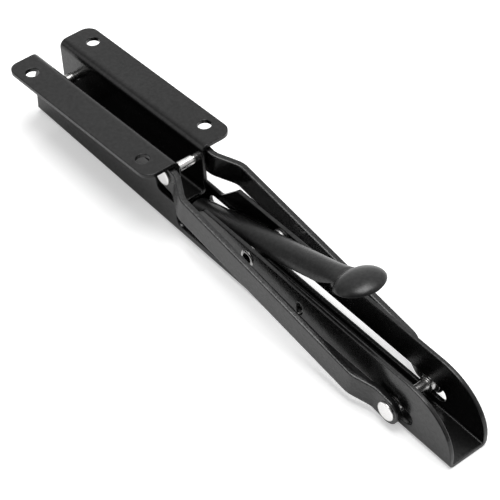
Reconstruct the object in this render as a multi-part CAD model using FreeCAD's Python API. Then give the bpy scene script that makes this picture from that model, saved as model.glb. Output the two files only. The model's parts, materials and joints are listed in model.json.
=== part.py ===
import FreeCAD, Part
import math
import os
from FreeCAD import Matrix, Vector

# Folding bracket for a drop leaf, lying folded on the base of its channel.
# X runs along the channel from the hinge end to the rounded nose, Y across it and Z up.
# Places along the channel are measured from its hinge end. At the very end every piece is
# shifted so that the origin lies midway between the two leaf screws, on the channel's base.

# Channel, one folded sheet
channel_length = 300.0
channel_width = 22.0
channel_sheet = 2.0
wall_height = 29.7
bend_inside_radius = 0.8
nose_length = 29.0
nose_straight_height = 5.5
edge_corner_radius = 1.5
bracket_screw_x = (58.0, 246.0)
leaf_screw_diameter = 6.0

# Notch in both walls that lets the arms pass from inside to outside
notch_start = 96.0
notch_floor_start = 99.5
notch_floor_end = 122.5
notch_end = 134.5
notch_floor_height = 17.8
notch_corner_radius = 4.0

# Slots that guide the sliding pin, and the oblong hole in each wall
slot_height = 9.4
slot_width = 8.2
slot_start = 113.5
slot_end = 276.2
oblong_x = 202.2
oblong_z = 19.4
oblong_width = 4.0
oblong_tall = 7.0

# Wall plate, one folded sheet of hat section, standing open by a few degrees
hinge_x = 10.9
hinge_z = 20.7
open_angle = 3.65
plate_length = 113.5
plate_overhang = 11.8
plate_width = 51.4
plate_sheet = 2.0
plate_depth = 28.0
plate_pin_depth = 14.9
plate_bend_radius = 2.0
plate_corner_radius = 6.0
plate_side_gap = 0.5
wall_hole_diameter = 7.0
wall_hole_inset = 12.0
wall_hole_spacing = 89.0
wall_hole_cross_spacing = 37.0
arm_pin_along = 96.5
arm_pin_up = 5.9

# Two mirrored bent arms
arm_length = 159.3
arm_width = 13.2
arm_thickness = 3.0
arm_bend_radius = 8.0
arm_gap_at_plate = 1.0
arm_gap_at_slot = 1.2
arm_gap_at_middle = 5.3
arm_first_bend = (7.5, 20.0)
arm_second_bend = (139.0, 150.5)

# Pins and rivets
pin_middle_radius = 2.6
pin_middle_half_length = 4.2
pin_neck_radius = 2.1
pin_head_radius = 4.8
pin_head_thickness = 1.1
pin_chamfer = 0.35
running_clearance = 0.05
side_clearance = 0.1
slide_pin_radius = 3.8
slide_pin_middle_radius = 2.7
slide_pin_middle_half_length = 8.2
slide_pin_end_gap = 0.3
slide_washer_radius = 5.3
slide_washer_thickness = 0.8

# Release lever, a pressed half-round stem with a domed paddle
lever_pin_x = 166.0
lever_pin_z = 23.3
lever_pin_radius = 3.4
lever_pin_bore_radius = 2.8
lever_pin_head_radius = 4.3
lever_pin_head_thickness = 0.5
lever_angle = 18.0
lever_sheet = 1.5
stem_half_width = 7.5
stem_height = 7.5
stem_rim_height = 1.0
stem_left = -50.0
stem_right = 42.0
neck_position = 57.0
neck_half_width = 7.0
neck_rim_height = 4.6
neck_crest = 3.9
paddle_position = 67.6
paddle_half_length = 11.4
paddle_half_width = 12.6
paddle_rim_height = 6.0
paddle_dome = 4.6
ear_radius = 5.6
skirt_inset = 0.05
skirt_overlap = 0.5
latch_notch_clearance = 0.5
catch_tooth_x = (2.0, 6.0)
catch_ramp_end = 11.0
catch_bottom = 8.0

# Torsion spring round the lever pin
spring_wire_radius = 0.6
spring_coil_radius = 4.6
spring_pitch = 1.5
spring_turns = 5
spring_steps_per_turn = 16
spring_wire_sides = 8
spring_upper_leg = 14.0
spring_upper_leg_angle = -8.0

# Sizes that follow from the ones above
half_width = channel_width / 2
inner_half = half_width - channel_sheet
web_outer = inner_half - plate_side_gap
web_inner = web_outer - plate_sheet
arm_inner_at_plate = web_outer + arm_gap_at_plate
arm_inner_at_middle = half_width + arm_gap_at_middle
arm_inner_at_slot = half_width + arm_gap_at_slot
arm_outer_at_plate = arm_inner_at_plate + arm_thickness
arm_outer_at_slot = arm_inner_at_slot + arm_thickness
# The ear at the hinge end is round about the hinge pin, so that the plate's flanges swing past it.
hinge_wall_height = hinge_z + hinge_x
tilt = math.radians(open_angle)
arm_pin_x = hinge_x + arm_pin_along * math.cos(tilt) - arm_pin_up * math.sin(tilt)
arm_pin_z = hinge_z + arm_pin_along * math.sin(tilt) + arm_pin_up * math.cos(tilt)
slide_x = arm_pin_x + math.sqrt(arm_length ** 2 - (arm_pin_z - slot_height) ** 2)
arm_slope = math.degrees(math.atan2(slot_height - arm_pin_z, slide_x - arm_pin_x))
open_arm_pin_x = hinge_x - arm_pin_up
open_arm_pin_z = hinge_z + arm_pin_along
open_slide_x = open_arm_pin_x + math.sqrt(arm_length ** 2 - (open_arm_pin_z - slot_height) ** 2)
origin_x = sum(bracket_screw_x) / 2
through = 4 * plate_width


def rounded_wire(corners, to_point):
    """Closed wire through corners given as (a, b, radius), with tangent arcs at the corners."""
    count = len(corners)
    starts, ends, middles = [], [], []
    for index, (a, b, radius) in enumerate(corners):
        here = Vector(a, b, 0)
        before = Vector(*corners[index - 1][:2], 0) - here
        after = Vector(*corners[(index + 1) % count][:2], 0) - here
        before.normalize()
        after.normalize()
        half = before.getAngle(after) / 2
        if radius == 0 or half > math.pi / 2 - 1e-4:
            starts.append(here)
            ends.append(here)
            middles.append(None)
            continue
        reach = radius / math.tan(half)
        bisector = (before + after).normalize()
        centre = here + bisector * (radius / math.sin(half))
        starts.append(here + before * reach)
        ends.append(here + after * reach)
        middles.append(centre - bisector * radius)
    edges = []
    for index in range(count):
        if middles[index] is not None:
            arc = Part.Arc(to_point(starts[index]), to_point(middles[index]), to_point(ends[index]))
            edges.append(arc.toShape())
        leave, arrive = ends[index], starts[(index + 1) % count]
        if (arrive - leave).Length > 1e-6:
            edges.append(Part.makeLine(to_point(leave), to_point(arrive)))
    return Part.Wire(edges)


def side_prism(corners, half=through / 2):
    """Solid with an outline in X and Z, reaching from -half to half across the bracket."""
    wire = rounded_wire(corners, lambda p: Vector(p.x, -half, p.y))
    return Part.Face(wire).extrude(Vector(0, 2 * half, 0))


def plan_prism(corners, bottom, top):
    """Solid with an outline in X and Y between two heights."""
    wire = rounded_wire(corners, lambda p: Vector(p.x, p.y, bottom))
    return Part.Face(wire).extrude(Vector(0, 0, top - bottom))


def cross_cylinder(radius, x, z, start, end):
    """Cylinder across the bracket, from Y start to Y end."""
    return Part.makeCylinder(radius, end - start, Vector(x, start, z), Vector(0, 1, 0))


def strip_corners(path, thickness, inside_radius):
    """Outline of a strip of even thickness bent along a path of (a, b) points."""
    half = thickness / 2
    left, right = [], []
    for index, (a, b) in enumerate(path):
        here = Vector(a, b, 0)
        arriving = here - Vector(*path[index - 1], 0) if index > 0 else None
        leaving = Vector(*path[index + 1], 0) - here if index < len(path) - 1 else None
        first = (arriving or leaving).normalize()
        last = (leaving or arriving).normalize()
        normal_a = Vector(-first.y, first.x, 0)
        normal_b = Vector(-last.y, last.x, 0)
        mitre = (normal_a + normal_b).normalize()
        reach = half / mitre.dot(normal_a)
        turn = first.x * last.y - first.y * last.x
        turned = abs(turn) > 1e-9
        left_radius = (inside_radius if turn > 0 else inside_radius + thickness) * turned
        right_radius = (inside_radius if turn < 0 else inside_radius + thickness) * turned
        left.append((here.x + mitre.x * reach, here.y + mitre.y * reach, left_radius))
        right.append((here.x - mitre.x * reach, here.y - mitre.y * reach, right_radius))
    return left + right[::-1]


def slot_corners(start, end, centre, width):
    """Outline of a slot with round ends along the first direction."""
    half = width / 2
    round_end = half - 1e-4
    return [(start, centre - half, round_end), (end, centre - half, round_end),
            (end, centre + half, round_end), (start, centre + half, round_end)]


def turned(profile, x, z):
    """Solid of revolution about a line across the bracket, from (y, radius) points."""
    points = [Vector(0, profile[0][0], 0)]
    points += [Vector(radius, y, 0) for y, radius in profile]
    points += [Vector(0, profile[-1][0], 0), points[0]]
    face = Part.Face(Part.makePolygon(points))
    solid = face.revolve(Vector(0, 0, 0), Vector(0, 1, 0), 360)
    solid.translate(Vector(x, 0, z))
    return solid


def washer(inner, outer, x, z, start, end):
    """Flat ring across the bracket."""
    ring = cross_cylinder(outer, x, z, start, end)
    return ring.cut(cross_cylinder(inner, x, z, start - 1, end + 1))


def mirrored(shape):
    """The same shape on the other side of the bracket."""
    return shape.mirror(Vector(0, 0, 0), Vector(0, 1, 0))


def both_sides(shape):
    """A piece and its mirror image, as separate solids."""
    return Part.makeCompound([shape, mirrored(shape)])


def tip(shape, degrees, x, z):
    """Turn a shape about a line across the bracket, the far end of the channel rising."""
    copy = shape.copy()
    copy.rotate(Vector(x, 0, z), Vector(0, -1, 0), degrees)
    return copy


def make_channel():
    """U-shaped sheet with the hinge ears, the notches, the guide slots and the rounded nose."""
    outer_radius = bend_inside_radius + channel_sheet
    top = max(wall_height, hinge_wall_height)
    middle = half_width - channel_sheet / 2
    path = [(-middle, top), (-middle, channel_sheet / 2), (middle, channel_sheet / 2), (middle, top)]
    section = rounded_wire(strip_corners(path, channel_sheet, bend_inside_radius),
                           lambda p: Vector(0, p.x, p.y))
    trough = Part.Face(section).extrude(Vector(channel_length, 0, 0))
    outline = [
        (0, 0, 0),
        (channel_length, 0, 0),
        (channel_length, wall_height, 0),
        (notch_end, wall_height, edge_corner_radius),
        (notch_floor_end, notch_floor_height, notch_corner_radius),
        (notch_floor_start, notch_floor_height, notch_corner_radius),
        (notch_start, hinge_wall_height, edge_corner_radius),
        (0, hinge_wall_height, hinge_x),
    ]
    channel = trough.common(side_prism(outline, outer_radius + half_width))
    channel = channel.common(make_nose_limit())
    holes = [side_prism(slot_corners(slot_start, slot_end, slot_height, slot_width))]
    upright = slot_corners(oblong_z - oblong_tall / 2, oblong_z + oblong_tall / 2, oblong_x, oblong_width)
    holes.append(side_prism([(b, a, radius) for a, b, radius in upright]))
    holes.append(cross_cylinder(pin_neck_radius + running_clearance, hinge_x, hinge_z,
                                -through, through))
    holes.append(cross_cylinder(lever_pin_radius + running_clearance, lever_pin_x, lever_pin_z,
                                -through, through))
    for x in bracket_screw_x:
        holes.append(Part.makeCylinder(leaf_screw_diameter / 2, 2 * channel_sheet,
                                       Vector(x, 0, -channel_sheet / 2)))
    for hole in holes:
        channel = channel.cut(hole)
    return channel


def make_nose_limit():
    """Space under the nose's outline, a quarter of an ellipse over a short upright."""
    start = channel_length - nose_length
    rise = wall_height - nose_straight_height
    back = -channel_width
    centre = Vector(start, back, nose_straight_height)
    # The ellipse's long way is set by which of the two is larger.
    along, up = Vector(nose_length, 0, 0), Vector(0, 0, rise)
    major, minor = (along, up) if nose_length >= rise else (up, along)
    ellipse = Part.Ellipse(centre + major, centre + minor, centre)
    first = ellipse.parameter(centre + along)
    last = ellipse.parameter(centre + up)
    low, high = sorted((first, last))
    if high - low > math.pi:
        low, high = high, low + 2 * math.pi
    curve = ellipse.toShape(low, high)
    tall = max(wall_height, hinge_wall_height) + 1
    corners = [
        Vector(start, back, wall_height),
        Vector(start, back, tall),
        Vector(-1, back, tall),
        Vector(-1, back, -1),
        Vector(channel_length, back, -1),
        Vector(channel_length, back, nose_straight_height),
    ]
    lines = [Part.makeLine(a, b) for a, b in zip(corners, corners[1:])]
    edges = Part.sortEdges(lines + [curve])[0]
    return Part.Face(Part.Wire(edges)).extrude(Vector(0, 2 * channel_width, 0))


def make_wall_plate():
    """Hat-section sheet: two flanges with screw holes, two webs and the crown between them."""
    top = hinge_z + plate_pin_depth
    flange = top - plate_sheet / 2
    crown = top - plate_depth + plate_sheet / 2
    web = web_outer - plate_sheet / 2
    edge = plate_width / 2
    path = [(-edge, flange), (-web, flange), (-web, crown), (web, crown), (web, flange), (edge, flange)]
    start = hinge_x - plate_overhang
    section = rounded_wire(strip_corners(path, plate_sheet, plate_bend_radius),
                           lambda p: Vector(start, p.x, p.y))
    plate = Part.Face(section).extrude(Vector(plate_length, 0, 0))
    end = start + plate_length
    plan = [(start, -edge, plate_corner_radius), (end, -edge, plate_corner_radius),
            (end, edge, plate_corner_radius), (start, edge, plate_corner_radius)]
    plate = plate.common(plan_prism(plan, top - plate_depth - 1, top + 1))
    for index in range(2):
        x = start + wall_hole_inset + index * wall_hole_spacing
        for side in (-1, 1):
            place = Vector(x, side * wall_hole_cross_spacing / 2, top - 2 * plate_sheet)
            plate = plate.cut(Part.makeCylinder(wall_hole_diameter / 2, 3 * plate_sheet, place))
    for x, z in ((hinge_x, hinge_z), (hinge_x + arm_pin_along, hinge_z + arm_pin_up)):
        plate = plate.cut(cross_cylinder(pin_neck_radius + running_clearance, x, z,
                                         -through, through))
    return tip(plate, open_angle, hinge_x, hinge_z)


def make_arm():
    """Flat bar with a round end at each pin, bent out to pass the channel wall and back in."""
    half = arm_thickness / 2
    reach = arm_width / 2
    first, second = arm_first_bend, arm_second_bend
    path = [
        (-2 * reach, arm_inner_at_plate + half),
        (first[0], arm_inner_at_plate + half),
        (first[1], arm_inner_at_middle + half),
        (second[0], arm_inner_at_middle + half),
        (second[1], arm_inner_at_slot + half),
        (arm_length + 2 * reach, arm_inner_at_slot + half),
    ]
    bar = plan_prism(strip_corners(path, arm_thickness, arm_bend_radius), -reach, reach)
    bar = bar.common(side_prism(slot_corners(-reach, arm_length + reach, 0, arm_width)))
    bar = bar.cut(cross_cylinder(pin_neck_radius + running_clearance, 0, 0, 0, through))
    bar = bar.cut(cross_cylinder(pin_neck_radius + running_clearance, arm_length, 0, 0, through))
    bar.rotate(Vector(0, 0, 0), Vector(0, -1, 0), arm_slope)
    bar.translate(Vector(arm_pin_x, 0, arm_pin_z))
    return bar


def cross_pin(half_length):
    """Profile of a pin that is thick in the middle and headed at both ends."""
    chamfer = pin_chamfer
    neck, head = pin_neck_radius, pin_head_radius
    end = half_length + pin_head_thickness
    side = [
        (pin_middle_half_length, pin_middle_radius),
        (pin_middle_half_length, neck),
        (half_length, neck),
        (half_length, head),
        (end - chamfer, head),
        (end, head - 2 * chamfer),
    ]
    return [(-y, radius) for y, radius in reversed(side)] + side


def make_hinge_pin():
    """Pin that joins the wall plate to the channel."""
    return turned(cross_pin(half_width), hinge_x, hinge_z)


def make_arm_pin():
    """Pin that joins both arms to the wall plate."""
    return turned(cross_pin(arm_outer_at_plate + side_clearance), arm_pin_x, arm_pin_z)


def make_slide_pin():
    """Pin that runs in both guide slots on its thicker ends."""
    end = arm_inner_at_slot - slide_pin_end_gap
    radius, middle = slide_pin_radius, slide_pin_middle_radius
    step = slide_pin_middle_half_length
    side = [(step, middle), (step, radius), (end - pin_chamfer, radius), (end, radius - pin_chamfer)]
    return turned([(-y, r) for y, r in reversed(side)] + side, slide_x, slot_height)


def make_slide_washers():
    """Thin washers on the sliding pin, between the channel walls and the arms."""
    gap = (arm_gap_at_slot - slide_washer_thickness) / 2
    start = half_width + gap
    ring = washer(slide_pin_radius + running_clearance, slide_washer_radius, slide_x, slot_height,
                  start, start + slide_washer_thickness)
    return both_sides(ring)


def make_arm_end_rivets():
    """Rivets in the arm ends, in line with the sliding pin."""
    inner, outer = arm_inner_at_slot, arm_outer_at_slot
    end = outer + pin_head_thickness
    profile = [(inner, pin_neck_radius), (outer, pin_neck_radius), (outer, pin_head_radius),
               (end - pin_chamfer, pin_head_radius), (end, pin_head_radius - 2 * pin_chamfer)]
    return both_sides(turned(profile, slide_x, slot_height))


def make_lever_pin():
    """Tubular rivet that carries the lever, with its thin rims rolled over the channel walls."""
    end = half_width + lever_pin_head_thickness
    chamfer = pin_chamfer
    side = [(half_width, lever_pin_radius), (half_width, lever_pin_head_radius),
            (end - chamfer, lever_pin_head_radius), (end, lever_pin_head_radius - chamfer)]
    profile = [(-y, radius) for y, radius in reversed(side)] + side
    tube = turned(profile, lever_pin_x, lever_pin_z)
    return tube.cut(cross_cylinder(lever_pin_bore_radius, lever_pin_x, lever_pin_z, -through, through))


def make_lever_washers():
    """Washers that keep the lever in the middle of the channel."""
    start = stem_half_width + side_clearance
    end = inner_half - side_clearance
    ring = washer(lever_pin_radius + running_clearance, ear_radius - 1.0, lever_pin_x, lever_pin_z,
                  start, end)
    return both_sides(ring)


def arch_wire(u, rim, half, crest, drop, stretched=True):
    """Closed half-ellipse square to the stem; drop carries its foot below the rim line."""
    left, right = Vector(u, -half, rim), Vector(u, half, rim)
    if stretched:
        unit = Part.Arc(Vector(0, -1, 0), Vector(0, 0, 1), Vector(0, 1, 0)).toShape()
        stretch = Matrix(1, 0, 0, u, 0, half, 0, 0, 0, 0, crest, rim)
        arch = unit.transformGeometry(stretch)
    else:
        arch = Part.Arc(left, Vector(u, 0, rim + crest), right).toShape()
    if not drop:
        return Part.Wire([arch, Part.makeLine(right, left)])
    down = Vector(0, 0, -drop)
    foot = [Part.makeLine(right, right + down), Part.makeLine(right + down, left + down),
            Part.makeLine(left + down, left)]
    return Part.Wire([arch] + foot)


def lever_skin(shrink, overrun, drop):
    """Stem, neck and paddle in one body, lying shrink inside the outer skin."""
    half, crest = stem_half_width - shrink, stem_height - shrink
    foot = Part.Face(arch_wire(stem_left - overrun, stem_rim_height, half, crest, drop, False))
    stem = foot.extrude(Vector(stem_right - stem_left + overrun, 0, 0))
    sections = [(u, stem_rim_height, half, crest) for u in (stem_right, stem_right + 3.0)]
    sections.append(((stem_right + 3.0 + neck_position) / 2,
                     stem_rim_height * 0.6 + neck_rim_height * 0.4,
                     stem_half_width * 0.55 + neck_half_width * 0.45 - shrink,
                     stem_height * 0.6 + neck_crest * 0.4 + 0.4 - shrink))
    sections.append((neck_position, neck_rim_height, neck_half_width - shrink, neck_crest - shrink))
    for degrees in (-42, -22, 0, 22, 42, 58, 71, 81):
        share = math.cos(math.radians(degrees))
        along = (paddle_half_length - shrink) * math.sin(math.radians(degrees))
        sections.append((paddle_position + along, paddle_rim_height,
                         (paddle_half_width - shrink) * share, (paddle_dome - shrink) * share + 0.3))
    head = Part.makeLoft([arch_wire(*section, drop) for section in sections], True, False)
    return stem.fuse(head)


def make_lever():
    """Pressed lever: half-round stem, ears on the pin, catch teeth and domed paddle."""
    lever = lever_skin(0.0, 0.0, 0.0).cut(lever_skin(lever_sheet, 1.0, 2 * lever_sheet))
    for corners in (ear_corners(), tooth_corners()):
        flat = skirt_plate(corners)
        lever = lever.fuse(flat).fuse(mirrored(flat))
    lever = lever.cut(cross_cylinder(lever_pin_radius + running_clearance, 0, 0, -through, through))
    lever.rotate(Vector(0, 0, 0), Vector(0, -1, 0), lever_angle)
    lever.translate(Vector(lever_pin_x, 0, lever_pin_z))
    return lever.cut(make_latch_notch())


def lever_place(x, z):
    """Place in the lever's own frame of a point given in the bracket's frame."""
    across, up = x - lever_pin_x, z - lever_pin_z
    angle = math.radians(lever_angle)
    return (across * math.cos(angle) + up * math.sin(angle),
            up * math.cos(angle) - across * math.sin(angle))


def ear_corners():
    """Outline of the ear round the lever's pin, in the lever's own frame."""
    top = stem_rim_height + skirt_overlap
    return [(-2 * ear_radius, top, 0), (-ear_radius, -ear_radius, 0.9 * ear_radius),
            (ear_radius, -ear_radius, 0.9 * ear_radius), (2 * ear_radius, top, 0)]


def tooth_corners():
    """Outline of the catch tooth: upright behind the sliding pin, with a ramp for its way in."""
    top = stem_rim_height + skirt_overlap
    left, right = (lever_place(open_slide_x + x, catch_bottom) for x in catch_tooth_x)
    ramp = lever_place(open_slide_x + catch_ramp_end, catch_bottom)
    return [(left[0], left[1], 0.4), (right[0], right[1], 1.0), (ramp[0], top, 0), (left[0], top, 0)]


def skirt_plate(corners):
    """Flat piece that carries the lever's skirt further down."""
    start = stem_half_width - lever_sheet + skirt_inset
    wire = rounded_wire(corners, lambda p: Vector(p.x, start, p.y))
    return Part.Face(wire).extrude(Vector(0, lever_sheet - 2 * skirt_inset, 0))


def make_latch_notch():
    """Round notch that the sliding pin lies in when the bracket is open and latched."""
    return cross_cylinder(slide_pin_middle_radius + latch_notch_clearance, open_slide_x, slot_height,
                          -through, through)


def wire_tube(points, radius):
    """Round wire through the given points, in short straight pieces."""
    sections = []
    side = Vector(0, 1, 0)
    for index, here in enumerate(points):
        before, after = points[max(index - 1, 0)], points[min(index + 1, len(points) - 1)]
        ahead = (after - before).normalize()
        if index == 0:
            side = Vector(1, 0, 0)
        side = (side - ahead * side.dot(ahead)).normalize()
        up = ahead.cross(side)
        angles = [2 * math.pi * corner / spring_wire_sides for corner in range(spring_wire_sides + 1)]
        sections.append(Part.makePolygon([here + side * (radius * math.cos(angle))
                                          + up * (radius * math.sin(angle)) for angle in angles]))
    return Part.makeLoft(sections, True, True)


def make_lever_spring():
    """Torsion spring: one leg under the stem, the other bent into the near wall's oblong hole."""
    radius, wire = spring_coil_radius, spring_wire_radius
    centre = Vector(lever_pin_x, 0, lever_pin_z)
    hook = Vector(oblong_x, 0, oblong_z - oblong_tall / 2 + wire + running_clearance)
    away = hook - centre
    lower = math.atan2(away.z, away.x) + math.asin(radius / away.Length)
    upper = math.radians(lever_angle + spring_upper_leg_angle)
    turns = spring_turns + (lower - upper - math.pi) / (2 * math.pi)
    half = turns * spring_pitch / 2
    bend = Vector(hook.x, 2 * wire - inner_half, hook.z)
    points = [Vector(hook.x, -half_width - wire, hook.z), bend - Vector(0, wire, 0),
              bend + Vector(-0.3 * wire, 0.3 * wire, 0)]
    steps = math.ceil(spring_steps_per_turn * turns)
    for step in range(steps + 1):
        share = step / steps
        angle = lower - math.pi / 2 - 2 * math.pi * turns * share
        points.append(centre + Vector(radius * math.cos(angle), half * (2 * share - 1),
                                      radius * math.sin(angle)))
    forward = Vector(math.cos(upper), 0, math.sin(upper))
    points.append(points[-1] + forward * spring_upper_leg)
    points.insert(3, bend + (points[3] - bend) * (2 * wire / (points[3] - bend).Length))
    return wire_tube(points, wire)


def save(node, shape):
    """Write one node's solids, shifted to the bracket's origin."""
    shifted = shape.copy()
    shifted.translate(Vector(-origin_x, 0, 0))
    solids = shifted.Solids
    if len(solids) == 1:
        shifted = solids[0]
    print(node, "solids", len(solids), "valid", shifted.isValid(), "volume", round(shifted.Volume, 1))
    shifted.exportStep("parts/" + node + ".step")


def main():
    """Build every piece and write it."""
    os.makedirs("parts", exist_ok=True)
    arm = make_arm()
    save("channel", make_channel())
    save("wall_plate", make_wall_plate())
    save("far_arm", arm)
    save("near_arm", mirrored(arm))
    save("hinge_pin", make_hinge_pin())
    save("arm_pin", make_arm_pin())
    save("slide_pin", make_slide_pin())
    save("slide_washers", make_slide_washers())
    save("arm_end_rivets", make_arm_end_rivets())
    save("lever", make_lever())
    save("lever_pin", make_lever_pin())
    save("lever_washers", make_lever_washers())
    save("lever_spring", make_lever_spring())
    print("sliding pin at", round(slide_x, 3), "open", round(open_slide_x, 3), "arm slope", round(arm_slope, 3))


main()
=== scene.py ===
import json
import math

import bmesh
import bpy
from mathutils import Matrix, Vector


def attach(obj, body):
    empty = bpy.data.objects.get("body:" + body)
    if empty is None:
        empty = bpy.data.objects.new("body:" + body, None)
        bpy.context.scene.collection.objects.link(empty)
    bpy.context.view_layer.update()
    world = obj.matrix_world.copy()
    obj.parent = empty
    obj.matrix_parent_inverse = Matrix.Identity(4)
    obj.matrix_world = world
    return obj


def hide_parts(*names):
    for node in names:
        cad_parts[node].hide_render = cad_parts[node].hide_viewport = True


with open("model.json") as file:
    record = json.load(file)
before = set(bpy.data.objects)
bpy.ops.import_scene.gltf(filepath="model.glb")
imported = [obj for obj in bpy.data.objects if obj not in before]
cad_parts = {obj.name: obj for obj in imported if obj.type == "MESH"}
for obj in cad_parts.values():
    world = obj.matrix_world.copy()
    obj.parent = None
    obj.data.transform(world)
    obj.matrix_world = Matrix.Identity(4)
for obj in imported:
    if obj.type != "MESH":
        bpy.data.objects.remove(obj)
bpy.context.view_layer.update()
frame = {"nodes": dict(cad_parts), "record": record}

# The camera's place was worked out from the photograph's straight edges, in metres.
CAMERA_TARGET = Vector((0.00262, 0.0, 0.01226))
CAMERA_AZIMUTH = math.radians(50.39)
CAMERA_ELEVATION = math.radians(45.69)
CAMERA_ROLL = math.radians(-0.27)
CAMERA_DISTANCE = 0.89415
CAMERA_CLIP = (0.05, 20.0)
SENSOR_MM = 36.0
LENS_MM = 139.05

# One soft lamp above, in metres and watts, and an even world light.
KEY_PLACE = (-0.02, 0.12, 1.35)
KEY_TARGET = (0.0, 0.0, 0.0)
KEY_SIZE = 0.9
KEY_POWER = 15.0
WORLD_LIGHT = 0.5

# The floor, in metres, and its own glow as the camera sees it and as the bracket reflects it.
# The reflected glow rises from the near level to the far one between two places across.
FLOOR_HALF_SIZE = 4.0
FLOOR_DROP = 0.0003
FLOOR_TONE = 0.9
FLOOR_GLOW = 0.39
FLOOR_MIRROR_GLOW = 0.06
FLOOR_RISES_AT = (0.02, 0.20)
FAR_FLOOR_GLOW = 0.39

# The sky in reflections: dark on the near side, bright on the far side, with one narrow strip.
SKY_CENTRE = (-0.25, 0.80, 0.55)
SKY_DARK_AT = -0.1
SKY_BRIGHT_AT = 0.75
SKY_DARK = 0.15
SKY_BRIGHT = 0.88
STRIP_CENTRE = (-0.55, -0.70, 0.45)
STRIP_FROM = 0.90
STRIP_FULL_AT = 0.98
STRIP_BRIGHT = 0.85

# Textures of the coat and the steel. Scales are in cells per metre, depths in metres.
NOISE_MIDDLE = (0.3, 0.7)
NOISE_DETAIL = 3.0
PLAIN_NOISE_DETAIL = 2.0
# The edge tint and the edge patches below paint the coat's edges lighter: partly worn paint, partly a
# painted highlight.
COAT_TINT = -0.01
COAT_EDGE_WEAR_AND_HIGHLIGHT_TINT = -0.02
COAT_CLOUD_SCALE = 38.0
COAT_TONE_SPREAD = 0.18
COAT_MOTTLE_SCALE = 620.0
COAT_MOTTLE_MIDDLE = (0.32, 0.68)
COAT_MOTTLE_SPREAD = 0.16
COAT_DRIFT_SCALE = 26.0
COAT_DRIFT_SPREAD = 0.06
COAT_FINE_SCALE = 1500.0
COAT_ROUGHNESS_SPREAD = 0.03
COAT_PEEL_SCALE = 900.0
COAT_PEEL_DEPTH = 0.00012
COAT_EDGE_WEAR_AND_HIGHLIGHT_SCALE = 420.0
COAT_EDGE_WEAR_AND_HIGHLIGHT_MIDDLE = (0.36, 0.62)
COAT_LEAST_EDGE_WEAR_AND_HIGHLIGHT = 0.25
COAT_EDGE_FULL_AT = 0.86
STEEL_TINT = 0.01
STEEL_RING_SCALE = 2600.0
STEEL_RING_ROUGHNESS = 0.6
STEEL_RING_MIDDLE = (0.42, 0.62)
STEEL_RING_DEPTH = 0.00006
STEEL_RING_STRENGTH = 0.25
STEEL_STAIN_SCALE = 260.0
STEEL_STAIN_MIDDLE = (0.4, 0.62)
STEEL_STAIN_TONE = 0.3
STEEL_STAIN_TINT = 0.02
STEEL_ROUGHNESS_BELOW = 0.06
STEEL_ROUGHNESS_ABOVE = 0.1
STEEL_EDGE_RADIUS = 0.0004
BEVEL_SAMPLES = 8

# The lever in its own frame, in millimetres: U runs from its pin towards the paddle.
METRES_PER_MM = 0.001
LEVER_TILT = math.radians(18.0)
LEVER_SHEET = 1.5
STEM_LEFT = -50.0
STEM_RIGHT = 42.0
STEM_HALF_WIDTH = 7.5
STEM_RIM = 1.0
NECK_END = 59.0
NECK_HALF_WIDTH = 7.1
NECK_SINKS_AT = (57.0, 69.0)
NECK_FADES_OVER = 2.0
RIM_RISES_AT = (44.0, 62.0)
PADDLE_CENTRE = 67.6
PADDLE_HALF_LENGTH = 11.4
PADDLE_HALF_WIDTH = 12.6
PADDLE_RIM = 6.0
PADDLE_DOME = 4.9
CREASE_BLEND = 0.5
TIP_HALF_WIDTH = 0.02
SKIRT_INSET = 0.05
SKIRT_TOP = STEM_RIM + 0.5
EAR_RADIUS = 5.6
EAR_START = math.radians(-5)
EAR_SWEEP = math.radians(-170)
PIN_HOLE_RADIUS = 3.45
DRILL_LENGTH = 60.0
# The catch takes the sliding pin when the bracket is open: its place from the lever's pin.
CATCH_NOTCH = (-43.716, -13.9)
CATCH_NOTCH_RADIUS = 3.2
CATCH_TOOTH = (2.0, 6.0, 11.0)
CATCH_BOTTOM = -15.3
# Steps of the lever's mesh, and the angle above which two faces meet in a sharp edge.
STEM_STEPS = 40
NECK_STEPS = 34
PADDLE_STEPS = 30
ACROSS_STEPS = 40
EAR_STEPS = 20
DRILL_STEPS = 64
MERGE_DISTANCE = 1e-4
SHARP_ANGLE = math.radians(35)


def add_camera():
    """Camera at the photograph's viewing angle."""
    back = Vector((math.sin(CAMERA_AZIMUTH) * math.cos(CAMERA_ELEVATION),
                   -math.cos(CAMERA_AZIMUTH) * math.cos(CAMERA_ELEVATION),
                   math.sin(CAMERA_ELEVATION)))
    right = (-back).cross(Vector((0, 0, 1))).normalized()
    up = back.cross(right)
    turned_right = right * math.cos(CAMERA_ROLL) + up * math.sin(CAMERA_ROLL)
    turned_up = up * math.cos(CAMERA_ROLL) - right * math.sin(CAMERA_ROLL)
    axes = Matrix((turned_right, turned_up, back)).transposed().to_4x4()
    data = bpy.data.cameras.new("camera")
    data.sensor_width = SENSOR_MM
    data.lens = LENS_MM
    data.clip_start, data.clip_end = CAMERA_CLIP
    camera = bpy.data.objects.new("camera", data)
    camera.matrix_world = Matrix.Translation(CAMERA_TARGET + back * CAMERA_DISTANCE) @ axes
    bpy.context.scene.collection.objects.link(camera)
    bpy.context.scene.camera = camera


def add_key_light():
    """Square soft lamp above the bracket."""
    data = bpy.data.lights.new("key", "AREA")
    data.shape = "SQUARE"
    data.size = KEY_SIZE
    data.energy = KEY_POWER
    light = bpy.data.objects.new("key", data)
    light.location = Vector(KEY_PLACE)
    aim = Vector(KEY_TARGET) - Vector(KEY_PLACE)
    light.rotation_euler = aim.to_track_quat("-Z", "Y").to_euler()
    bpy.context.scene.collection.objects.link(light)


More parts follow.
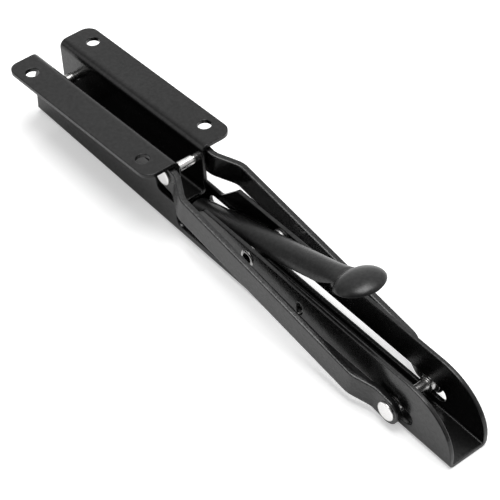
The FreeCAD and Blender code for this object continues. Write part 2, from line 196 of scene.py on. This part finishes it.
class Nodes:
    """Small helper that adds nodes to a tree and joins them."""

    def __init__(self, tree):
        self.tree = tree

    def add(self, kind, inputs=None, **settings):
        node = self.tree.nodes.new(kind)
        for key, value in settings.items():
            setattr(node, key, value)
        for key, value in (inputs or {}).items():
            if isinstance(value, bpy.types.NodeSocket):
                self.tree.links.new(value, node.inputs[key])
            else:
                node.inputs[key].default_value = value
        return node

    def math(self, operation, first, second, clamp=False):
        node = self.add("ShaderNodeMath", {0: first, 1: second}, operation=operation, use_clamp=clamp)
        return node.outputs[0]

    def dot(self, first, second):
        node = self.add("ShaderNodeVectorMath", {0: first, 1: second}, operation="DOT_PRODUCT")
        return node.outputs["Value"]

    def ramp(self, value, low, high, start=0.0, end=1.0):
        node = self.add("ShaderNodeMapRange", {"Value": value, "From Min": low, "From Max": high,
                                               "To Min": start, "To Max": end})
        return node.outputs[0]

    def noise(self, vector, scale, detail=NOISE_DETAIL, roughness=0.5):
        node = self.add("ShaderNodeTexNoise", {"Vector": vector, "Scale": scale, "Detail": detail,
                                               "Roughness": roughness})
        return node.outputs[0]

    def mix(self, share, first, second):
        node = self.add("ShaderNodeMix", {0: share, 6: first, 7: second}, data_type="RGBA")
        return node.outputs[2]

    def bump(self, strength, depth, height, normal):
        node = self.add("ShaderNodeBump", {"Strength": strength, "Distance": depth, "Height": height,
                                           "Normal": normal})
        return node.outputs[0]

    def link(self, output, target):
        self.tree.links.new(output, target)


def grey(value, warm=0.0):
    """Colour near grey; warm above 0 is warmer, below 0 is cooler."""
    return (value * (1 + warm), value, value * (1 - warm), 1.0)


def empty_nodes(owner):
    """Cleared node tree of a material or a world."""
    owner.use_nodes = True
    owner.node_tree.nodes.clear()
    return Nodes(owner.node_tree)


def new_material(name):
    """Node material with its output, its shader's inputs and a place on the object."""
    material = bpy.data.materials.new(name)
    nodes = empty_nodes(material)
    shader = nodes.add("ShaderNodeBsdfPrincipled")
    output = nodes.add("ShaderNodeOutputMaterial")
    nodes.link(shader.outputs[0], output.inputs["Surface"])
    place = nodes.add("ShaderNodeTexCoord").outputs["Object"]
    return material, nodes, shader.inputs, place


def rounded_normal(nodes, radius):
    """Normal that runs round sharp edges."""
    return nodes.add("ShaderNodeBevel", {"Radius": radius}, samples=BEVEL_SAMPLES).outputs[0]


def edge_mask(nodes, rounded):
    """0 on flats and up to 1 where the rounded normal leaves the flat one."""
    flat = nodes.add("ShaderNodeNewGeometry").outputs["Normal"]
    return nodes.ramp(nodes.dot(rounded, flat), 1.0, COAT_EDGE_FULL_AT)


def powder_coat(name, tone, roughness, peel, edge_wear_and_highlight_tone, edge_wear_and_highlight_share, edge_radius, gloss):
    """Satin black powder coat with orange peel and uneven sheen; its edges are painted lighter in
    patches, partly as thinner paint and partly as a painted highlight.
    """
    material, nodes, shader, place = new_material(name)
    rounded = rounded_normal(nodes, edge_radius)
    edge = edge_mask(nodes, rounded)
    patch = nodes.noise(place, COAT_EDGE_WEAR_AND_HIGHLIGHT_SCALE)
    # Lighter edges in patches: partly worn paint, partly a painted highlight.
    worn_and_lit_edge = nodes.math("MULTIPLY", edge, nodes.ramp(patch, *COAT_EDGE_WEAR_AND_HIGHLIGHT_MIDDLE, COAT_LEAST_EDGE_WEAR_AND_HIGHLIGHT, 1.0), True)
    cloud = nodes.noise(place, COAT_CLOUD_SCALE)
    base = nodes.mix(cloud, grey(tone * (1 - COAT_TONE_SPREAD), COAT_TINT),
                     grey(tone * (1 + COAT_TONE_SPREAD), COAT_TINT))
    colour = nodes.mix(nodes.math("MULTIPLY", worn_and_lit_edge, edge_wear_and_highlight_share), base, grey(edge_wear_and_highlight_tone, COAT_EDGE_WEAR_AND_HIGHLIGHT_TINT))
    nodes.link(colour, shader["Base Color"])
    mottle = nodes.ramp(nodes.noise(place, COAT_MOTTLE_SCALE), *COAT_MOTTLE_MIDDLE,
                        gloss * (1 - COAT_MOTTLE_SPREAD), gloss * (1 + COAT_MOTTLE_SPREAD))
    drift = nodes.ramp(nodes.noise(place, COAT_DRIFT_SCALE, PLAIN_NOISE_DETAIL), *NOISE_MIDDLE,
                       1 - COAT_DRIFT_SPREAD, 1 + COAT_DRIFT_SPREAD)
    nodes.link(nodes.math("MULTIPLY", mottle, drift), shader["Specular IOR Level"])
    fine = nodes.noise(place, COAT_FINE_SCALE, PLAIN_NOISE_DETAIL)
    rough = nodes.math("ADD",
                       nodes.ramp(cloud, *NOISE_MIDDLE, -COAT_ROUGHNESS_SPREAD, COAT_ROUGHNESS_SPREAD),
                       nodes.ramp(fine, *NOISE_MIDDLE, roughness - COAT_ROUGHNESS_SPREAD,
                                  roughness + COAT_ROUGHNESS_SPREAD))
    nodes.link(rough, shader["Roughness"])
    bumps = nodes.noise(place, COAT_PEEL_SCALE)
    nodes.link(nodes.bump(peel, COAT_PEEL_DEPTH, bumps, rounded), shader["Normal"])
    return material


def turned_steel(name, tone, roughness, streaks):
    """Bright steel with rings left by turning, darker in places."""
    material, nodes, shader, place = new_material(name)
    axes = nodes.add("ShaderNodeSeparateXYZ", {0: place})
    along = nodes.add("ShaderNodeCombineXYZ", {"X": axes.outputs["Y"]}).outputs[0]
    rings = nodes.noise(along, STEEL_RING_SCALE, roughness=STEEL_RING_ROUGHNESS)
    stain = nodes.noise(place, STEEL_STAIN_SCALE)
    dark = nodes.math("MULTIPLY", nodes.ramp(rings, *STEEL_RING_MIDDLE),
                      nodes.ramp(stain, *STEEL_STAIN_MIDDLE), True)
    colour = nodes.mix(nodes.math("MULTIPLY", dark, streaks), grey(tone, STEEL_TINT),
                       grey(tone * STEEL_STAIN_TONE, STEEL_STAIN_TINT))
    nodes.link(colour, shader["Base Color"])
    shader["Metallic"].default_value = 1.0
    rough = nodes.ramp(rings, *NOISE_MIDDLE, roughness - STEEL_ROUGHNESS_BELOW,
                       roughness + STEEL_ROUGHNESS_ABOVE)
    nodes.link(rough, shader["Roughness"])
    rounded = rounded_normal(nodes, STEEL_EDGE_RADIUS)
    nodes.link(nodes.bump(STEEL_RING_STRENGTH, STEEL_RING_DEPTH, rings, rounded), shader["Normal"])
    return material


def smooth_step(value, low, high):
    """0 below low, 1 above high, with an even curve between."""
    share = min(max((value - low) / (high - low), 0.0), 1.0)
    return share * share * (3 - 2 * share)


def blended_max(first, second):
    """The larger of two values, blended in a crease where they are near each other."""
    share = min(max(0.5 + (first - second) / (2 * CREASE_BLEND), 0.0), 1.0)
    blended = second + (first - second) * share + CREASE_BLEND * share * (1 - share)
    return blended - CREASE_BLEND / 4


def lever_rim(u):
    """Height of the skin's lower edge."""
    return STEM_RIM + (PADDLE_RIM - STEM_RIM) * smooth_step(u, *RIM_RISES_AT)


def lever_section(u, shrink):
    """Points across the skin at one place along it, on a surface that lies shrink inside."""
    rim = lever_rim(u)
    narrowing = (STEM_HALF_WIDTH - NECK_HALF_WIDTH) * smooth_step(u, STEM_RIGHT, NECK_END)
    stem_half = STEM_HALF_WIDTH - narrowing - shrink
    crest = (STEM_RIM + STEM_HALF_WIDTH - rim - shrink) * (1 - smooth_step(u, *NECK_SINKS_AT))
    along = (u - PADDLE_CENTRE) / (PADDLE_HALF_LENGTH - shrink)
    dome_half = (PADDLE_HALF_WIDTH - shrink) * math.sqrt(max(1 - along * along, 0.0))
    neck_half = stem_half * (1 - smooth_step(u, PADDLE_CENTRE, PADDLE_CENTRE + NECK_FADES_OVER))
    half = max(blended_max(neck_half, dome_half), TIP_HALF_WIDTH)
    points = []
    for column in range(ACROSS_STEPS + 1):
        y = -half * math.cos(math.pi * column / ACROSS_STEPS)
        neck = crest * math.sqrt(max(1 - (y / stem_half) ** 2, 0.0))
        across = y / (PADDLE_HALF_WIDTH - shrink)
        dome = (PADDLE_DOME - shrink) * math.sqrt(max(1 - along * along - across * across, 0.0))
        height = blended_max(neck, dome) if dome > 0 else neck
        points.append((u, y, rim + max(height, 0.0)))
    return points


def lever_rows(shrink):
    """Rows of points from the stem's end to the paddle's tip, on a surface that lies shrink inside."""
    stem, neck = STEM_RIGHT - STEM_LEFT, NECK_END - STEM_RIGHT
    places = [STEM_LEFT + stem * step / STEM_STEPS for step in range(STEM_STEPS + 1)]
    places += [STEM_RIGHT + neck * step / NECK_STEPS for step in range(1, NECK_STEPS + 1)]
    start = math.asin((NECK_END - PADDLE_CENTRE) / PADDLE_HALF_LENGTH)
    for step in range(1, PADDLE_STEPS + 1):
        turn = start + (math.pi / 2 - start) * step / PADDLE_STEPS
        places.append(PADDLE_CENTRE + (PADDLE_HALF_LENGTH - shrink) * math.sin(turn))
    return [lever_section(u, shrink) for u in places]


def add_face(bm, corners, flip):
    """Face with its corners in the given order, or the other way round."""
    bm.faces.new(corners[::-1] if flip else corners)


def lever_skin_mesh(bm):
    """Stem, neck and paddle as one pressed sheet of even thickness."""
    out, into = ([[bm.verts.new(point) for point in row] for row in lever_rows(shrink)]
                 for shrink in (0.0, LEVER_SHEET))
    for sheet, flip in ((out, False), (into, True)):
        for row, after in zip(sheet, sheet[1:]):
            for column in range(ACROSS_STEPS):
                add_face(bm, [row[column], after[column], after[column + 1], row[column + 1]], flip)
    for edge, flip in ((0, False), (ACROSS_STEPS, True)):
        for step in range(len(out) - 1):
            add_face(bm, [out[step][edge], into[step][edge], into[step + 1][edge], out[step + 1][edge]],
                     flip)
    for row, flip in ((0, False), (-1, True)):
        for column in range(ACROSS_STEPS):
            add_face(bm, [out[row][column], out[row][column + 1], into[row][column + 1],
                          into[row][column]], flip)


def skirt_plate_mesh(bm, corners, side):
    """Flat piece of a skirt, from (U, height) corners."""
    low, high = sorted((side * (STEM_HALF_WIDTH - LEVER_SHEET + SKIRT_INSET),
                        side * (STEM_HALF_WIDTH - SKIRT_INSET)))
    front = [bm.verts.new((u, low, v)) for u, v in corners]
    back = [bm.verts.new((u, high, v)) for u, v in corners]
    add_face(bm, front, False)
    add_face(bm, back, True)
    for index in range(len(corners)):
        following = (index + 1) % len(corners)
        add_face(bm, [front[following], front[index], back[index], back[following]], False)


def in_lever_frame(x, z):
    """Place in the lever's own frame of a point given from the pin, along the bracket and up."""
    return (x * math.cos(LEVER_TILT) + z * math.sin(LEVER_TILT),
            z * math.cos(LEVER_TILT) - x * math.sin(LEVER_TILT))


def ear_outline():
    """Ear round the pin, with a round lower edge."""
    angles = (EAR_START + EAR_SWEEP * step / EAR_STEPS for step in range(EAR_STEPS + 1))
    bend = [(EAR_RADIUS * math.cos(angle), EAR_RADIUS * math.sin(angle)) for angle in angles]
    return [(2 * EAR_RADIUS, SKIRT_TOP)] + bend + [(-2 * EAR_RADIUS, SKIRT_TOP)]


def tooth_outline():
    """Catch tooth beside the notch, with the ramp for the pin's way in."""
    left, right, ramp = (in_lever_frame(CATCH_NOTCH[0] + reach, CATCH_BOTTOM) for reach in CATCH_TOOTH)
    return [(ramp[0], SKIRT_TOP), right, left, (left[0], SKIRT_TOP)]


def plain_object(name, bm):
    """Object with a closed mesh whose faces all point out."""
    bmesh.ops.remove_doubles(bm, verts=bm.verts, dist=MERGE_DISTANCE)
    bmesh.ops.recalc_face_normals(bm, faces=bm.faces)
    mesh = bpy.data.meshes.new(name)
    bm.to_mesh(mesh)
    bm.free()
    new = bpy.data.objects.new(name, mesh)
    bpy.context.scene.collection.objects.link(new)
    return new


def cross_drill(name, place, radius):
    """Cylinder across the lever that cuts a hole."""
    bm = bmesh.new()
    bmesh.ops.create_cone(bm, cap_ends=True, segments=DRILL_STEPS, radius1=radius, radius2=radius,
                          depth=DRILL_LENGTH)
    turn = Matrix.Translation((place[0], 0, place[1])) @ Matrix.Rotation(math.pi / 2, 4, "X")
    bmesh.ops.transform(bm, matrix=turn, verts=bm.verts)
    return plain_object(name, bm)


def cut_mesh(body, drills):
    """Mesh of a body with the drills' holes in it."""
    for drill in drills:
        cut = body.modifiers.new("hole", "BOOLEAN")
        cut.operation = "DIFFERENCE"
        cut.object = drill
        cut.solver = "EXACT"
    graph = bpy.context.evaluated_depsgraph_get()
    return bpy.data.meshes.new_from_object(body.evaluated_get(graph))


def lever_bodies():
    """Skin, ears and catch teeth as closed objects."""
    bm = bmesh.new()
    lever_skin_mesh(bm)
    bodies = [plain_object("lever_skin", bm)]
    for outline in (ear_outline(), tooth_outline()):
        for side in (-1, 1):
            bm = bmesh.new()
            skirt_plate_mesh(bm, outline, side)
            bodies.append(plain_object("lever_plate", bm))
    return bodies


def release_pin_place():
    """Place of the lever's pin in the bracket, from the release joint."""
    joints = frame["record"]["behaviour"]["joints"]
    return next(joint["pos_m"] for joint in joints if joint["name"] == "release")


def drilled_lever():
    """All the lever's bodies with their holes cut, joined in the bracket's frame."""
    drills = [cross_drill("pin_hole", (0.0, 0.0), PIN_HOLE_RADIUS),
              cross_drill("catch_notch", in_lever_frame(*CATCH_NOTCH), CATCH_NOTCH_RADIUS)]
    bodies = lever_bodies()
    whole = bmesh.new()
    for body in bodies:
        whole.from_mesh(cut_mesh(body, drills))
    for spare in bodies + drills:
        bpy.data.objects.remove(spare)
    turn = Matrix.Rotation(-LEVER_TILT, 4, "Y") @ Matrix.Scale(METRES_PER_MM, 4)
    seat = Matrix.Translation(release_pin_place()) @ turn
    bmesh.ops.transform(whole, matrix=seat, verts=whole.verts)
    return whole


def add_lever():
    """Pressed lever: half-round stem that flows into a domed paddle, with ears and catch teeth."""
    whole = drilled_lever()
    for edge in whole.edges:
        edge.smooth = len(edge.link_faces) == 2 and edge.calc_face_angle() < SHARP_ANGLE
    for face in whole.faces:
        face.smooth = True
    mesh = bpy.data.meshes.new("lever_body")
    whole.to_mesh(mesh)
    whole.free()
    mesh.materials.append(MATERIALS["lever"])
    lever = bpy.data.objects.new("lever_body", mesh)
    bpy.context.scene.collection.objects.link(lever)
    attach(lever, "lever")
    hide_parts("lever")


def floor_material():
    """White floor that glows a little to the camera, and dimmer in reflections on the near side."""
    material = bpy.data.materials.new("floor_white")
    nodes = empty_nodes(material)
    matt = nodes.add("ShaderNodeBsdfDiffuse", {"Color": grey(FLOOR_TONE)})
    ray = nodes.add("ShaderNodeLightPath").outputs
    seen = nodes.math("MULTIPLY", ray["Is Camera Ray"], FLOOR_GLOW)
    place = nodes.add("ShaderNodeNewGeometry").outputs["Position"]
    across = nodes.add("ShaderNodeSeparateXYZ", {0: place}).outputs["Y"]
    mirror_glow = nodes.ramp(across, *FLOOR_RISES_AT, FLOOR_MIRROR_GLOW, FAR_FLOOR_GLOW)
    mirrored = nodes.math("MULTIPLY", ray["Is Glossy Ray"], mirror_glow)
    strength = nodes.math("ADD", seen, mirrored)
    glow = nodes.add("ShaderNodeEmission", {"Color": grey(1.0), "Strength": strength})
    lift = nodes.add("ShaderNodeAddShader", {0: matt.outputs[0], 1: glow.outputs[0]})
    output = nodes.add("ShaderNodeOutputMaterial")
    nodes.link(lift.outputs[0], output.inputs["Surface"])
    return material


def add_floor():
    """White studio floor that keeps the object's soft shadow."""
    half = FLOOR_HALF_SIZE
    mesh = bpy.data.meshes.new("floor")
    corners = [(-half, -half, 0), (half, -half, 0), (half, half, 0), (-half, half, 0)]
    mesh.from_pydata(corners, [], [(0, 1, 2, 3)])
    mesh.materials.append(floor_material())
    floor = bpy.data.objects.new("floor", mesh)
    floor.location = (0, 0, -FLOOR_DROP)
    bpy.context.scene.collection.objects.link(floor)


def set_world():
    """White to the camera, a plain level as light, and a graded sky with a strip in reflections."""
    world = bpy.data.worlds.new("studio")
    bpy.context.scene.world = world
    nodes = empty_nodes(world)
    ray = nodes.add("ShaderNodeLightPath").outputs
    seen = nodes.math("ADD", ray["Is Camera Ray"], ray["Is Transmission Ray"], True)
    plain = nodes.ramp(seen, 0.0, 1.0, WORLD_LIGHT, 1.0)
    direction = nodes.add("ShaderNodeTexCoord").outputs["Generated"]
    sky = nodes.ramp(nodes.dot(direction, SKY_CENTRE), SKY_DARK_AT, SKY_BRIGHT_AT, SKY_DARK, SKY_BRIGHT)
    strip = nodes.ramp(nodes.dot(direction, STRIP_CENTRE), STRIP_FROM, STRIP_FULL_AT, 0.0, STRIP_BRIGHT)
    mirrored = nodes.math("ADD", sky, strip)
    strength = nodes.add("ShaderNodeMix", {0: ray["Is Glossy Ray"], 2: plain, 3: mirrored}).outputs[0]
    shade = nodes.add("ShaderNodeBackground", {"Color": grey(1.0), "Strength": strength})
    output = nodes.add("ShaderNodeOutputWorld")
    nodes.link(shade.outputs[0], output.inputs["Surface"])


# Coats have tone, roughness, peel, edge tone, edge share, edge radius in metres and gloss; the edge tone
# and edge share paint lighter edges, partly worn paint and partly a painted highlight.
# Steels have tone, roughness and streaks.
MATERIALS = {
    "channel": powder_coat("coat_channel", 0.002, 0.22, 0.30, 0.02, 0.5, 0.0010, 0.50),
    "wall_plate": powder_coat("coat_plate", 0.002, 0.22, 0.40, 0.02, 0.4, 0.0008, 0.45),
    "near_arm": powder_coat("coat_near_arm", 0.003, 0.22, 0.45, 0.04, 0.6, 0.0014, 0.51),
    "far_arm": powder_coat("coat_far_arm", 0.002, 0.22, 0.40, 0.04, 0.6, 0.0014, 0.50),
    "lever": powder_coat("coat_lever", 0.002, 0.32, 0.10, 0.02, 0.0, 0.0003, 0.48),
    "hinge_pin": turned_steel("steel_hinge_pin", 0.50, 0.22, 0.9),
    "arm_pin": turned_steel("steel_arm_pin", 0.85, 0.20, 0.6),
    "slide_pin": turned_steel("steel_slide_pin", 0.60, 0.22, 0.9),
    "slide_washers": turned_steel("steel_slide_washers", 0.60, 0.30, 0.5),
    "arm_end_rivets": turned_steel("steel_arm_rivets", 0.95, 0.24, 0.1),
    "lever_pin": turned_steel("steel_lever_pin", 0.60, 0.22, 0.5),
    "lever_washers": turned_steel("steel_lever_washers", 0.55, 0.32, 0.5),
    "lever_spring": turned_steel("steel_spring", 0.50, 0.30, 0.4),
}

for node_name, node in frame["nodes"].items():
    for slot in node.material_slots:
        slot.material = MATERIALS[node_name]

add_lever()
set_world()
add_floor()
add_key_light()
add_camera()
bpy.context.scene.view_settings.view_transform = "Standard"
